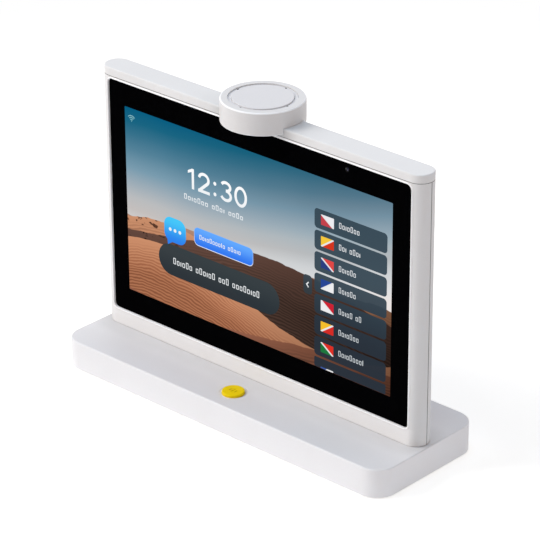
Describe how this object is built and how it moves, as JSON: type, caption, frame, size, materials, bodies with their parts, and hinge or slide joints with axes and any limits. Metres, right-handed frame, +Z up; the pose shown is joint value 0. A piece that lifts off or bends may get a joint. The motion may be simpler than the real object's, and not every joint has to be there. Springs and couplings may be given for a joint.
{
  "type": "dual-screen translator",
  "caption": "Table-top translator: a slab with a touch screen on each face on a low base, a microphone puck on top and round talk buttons.",
  "frame": {"origin": "middle of the footprint, on the surface that the feet stand on", "axes": "+X along the screens' width, to the right for someone at the front; +Y from the front face to the rear face; +Z up"},
  "size_m": [0.2698, 0.0926, 0.2099],
  "materials": {
    "shell": "fine satin texture, pale grey white",
    "disc": "smooth satin",
    "cover": "fine texture",
    "foot": "matt",
    "screw": "zinc plated",
    "ballast": "plain rolled steel",
    "battery_wrap": "foil wrap",
    "speaker": "fine texture",
    "driver": "paper cone in a pressed frame",
    "circuit": "solder mask",
    "tin": "tinned sheet",
    "switch_body": "moulded",
    "talk_yellow": "satin, bright yellow",
    "spring": "drawn wire",
    "bracket": "zinc plated sheet",
    "chassis": "plain sheet",
    "adhesive": "closed foam tape",
    "cover_glass": "clear, black print round the display",
    "display": "lit picture",
    "backlight": "pressed tray",
    "camera": "black barrel",
    "ribbon": "amber film",
    "mic_can": "plated can",
    "seal": "matt"
  },
  "bodies": {
    "stand": {"base_shell": "shell", "front_shell": "shell", "rear_shell": "shell", "top_cap": "shell", "puck_housing": "shell", "puck_disc": "disc", "mic_ring": "disc", "base_cover": "cover", "puck_base": "cover", "feet": "foot", "base_screws": "screw", "speaker_screws": "screw", "io_screws": "screw", "switch_screws": "screw", "bracket_screws": "screw", "tongue_screws": "screw", "board_screws": "screw", "shell_screws": "screw", "cap_screws": "screw", "puck_screws": "screw", "mic_board_screws": "screw", "ballast_plate": "ballast", "battery": "battery_wrap", "left_speaker_box": "speaker", "right_speaker_box": "speaker", "left_driver": "driver", "right_driver": "driver", "io_board": "circuit", "front_switch_board": "circuit", "rear_switch_board": "circuit", "main_board": "circuit", "mic_board": "circuit", "usb_c_port": "tin", "rf_shield": "tin", "power_switch": "switch_body", "front_talk_switch": "switch_body", "rear_talk_switch": "switch_body", "front_talk_spring": "spring", "rear_talk_spring": "spring", "stand_bracket": "bracket", "chassis_plate": "chassis", "front_gasket": "adhesive", "rear_gasket": "adhesive", "front_glass": "cover_glass", "rear_glass": "cover_glass", "front_panel": "display", "rear_panel": "display", "front_backlight": "backlight", "rear_backlight": "backlight", "front_camera": "camera", "rear_camera": "camera", "front_display_ribbon": "ribbon", "rear_display_ribbon": "ribbon", "base_ribbon": "ribbon", "mic_ribbon": "ribbon", "microphones": "mic_can", "mic_seals": "seal"},
    "front_talk": {"front_talk_button": "talk_yellow"},
    "rear_talk": {"rear_talk_button": "talk_yellow"},
    "power_key": {"power_button": "shell"}
  },
  "joints": [
    {"name": "front_talk_press", "type": "slide", "parent": "stand", "child": "front_talk", "axis": [0, 0, 1], "range_m": [-0.001, 0], "stiffness_N_per_m": 300, "springref_m": 0.003, "deforming": ["front_talk_spring"]},
    {"name": "rear_talk_press", "type": "slide", "parent": "stand", "child": "rear_talk", "axis": [0, 0, 1], "range_m": [-0.001, 0], "stiffness_N_per_m": 300, "springref_m": 0.003, "deforming": ["rear_talk_spring"]},
    {"name": "power_press", "type": "slide", "parent": "stand", "child": "power_key", "axis": [1, 0, 0], "range_m": [0, 0.0005], "stiffness_N_per_m": 800, "springref_m": -0.0008}
  ]
}
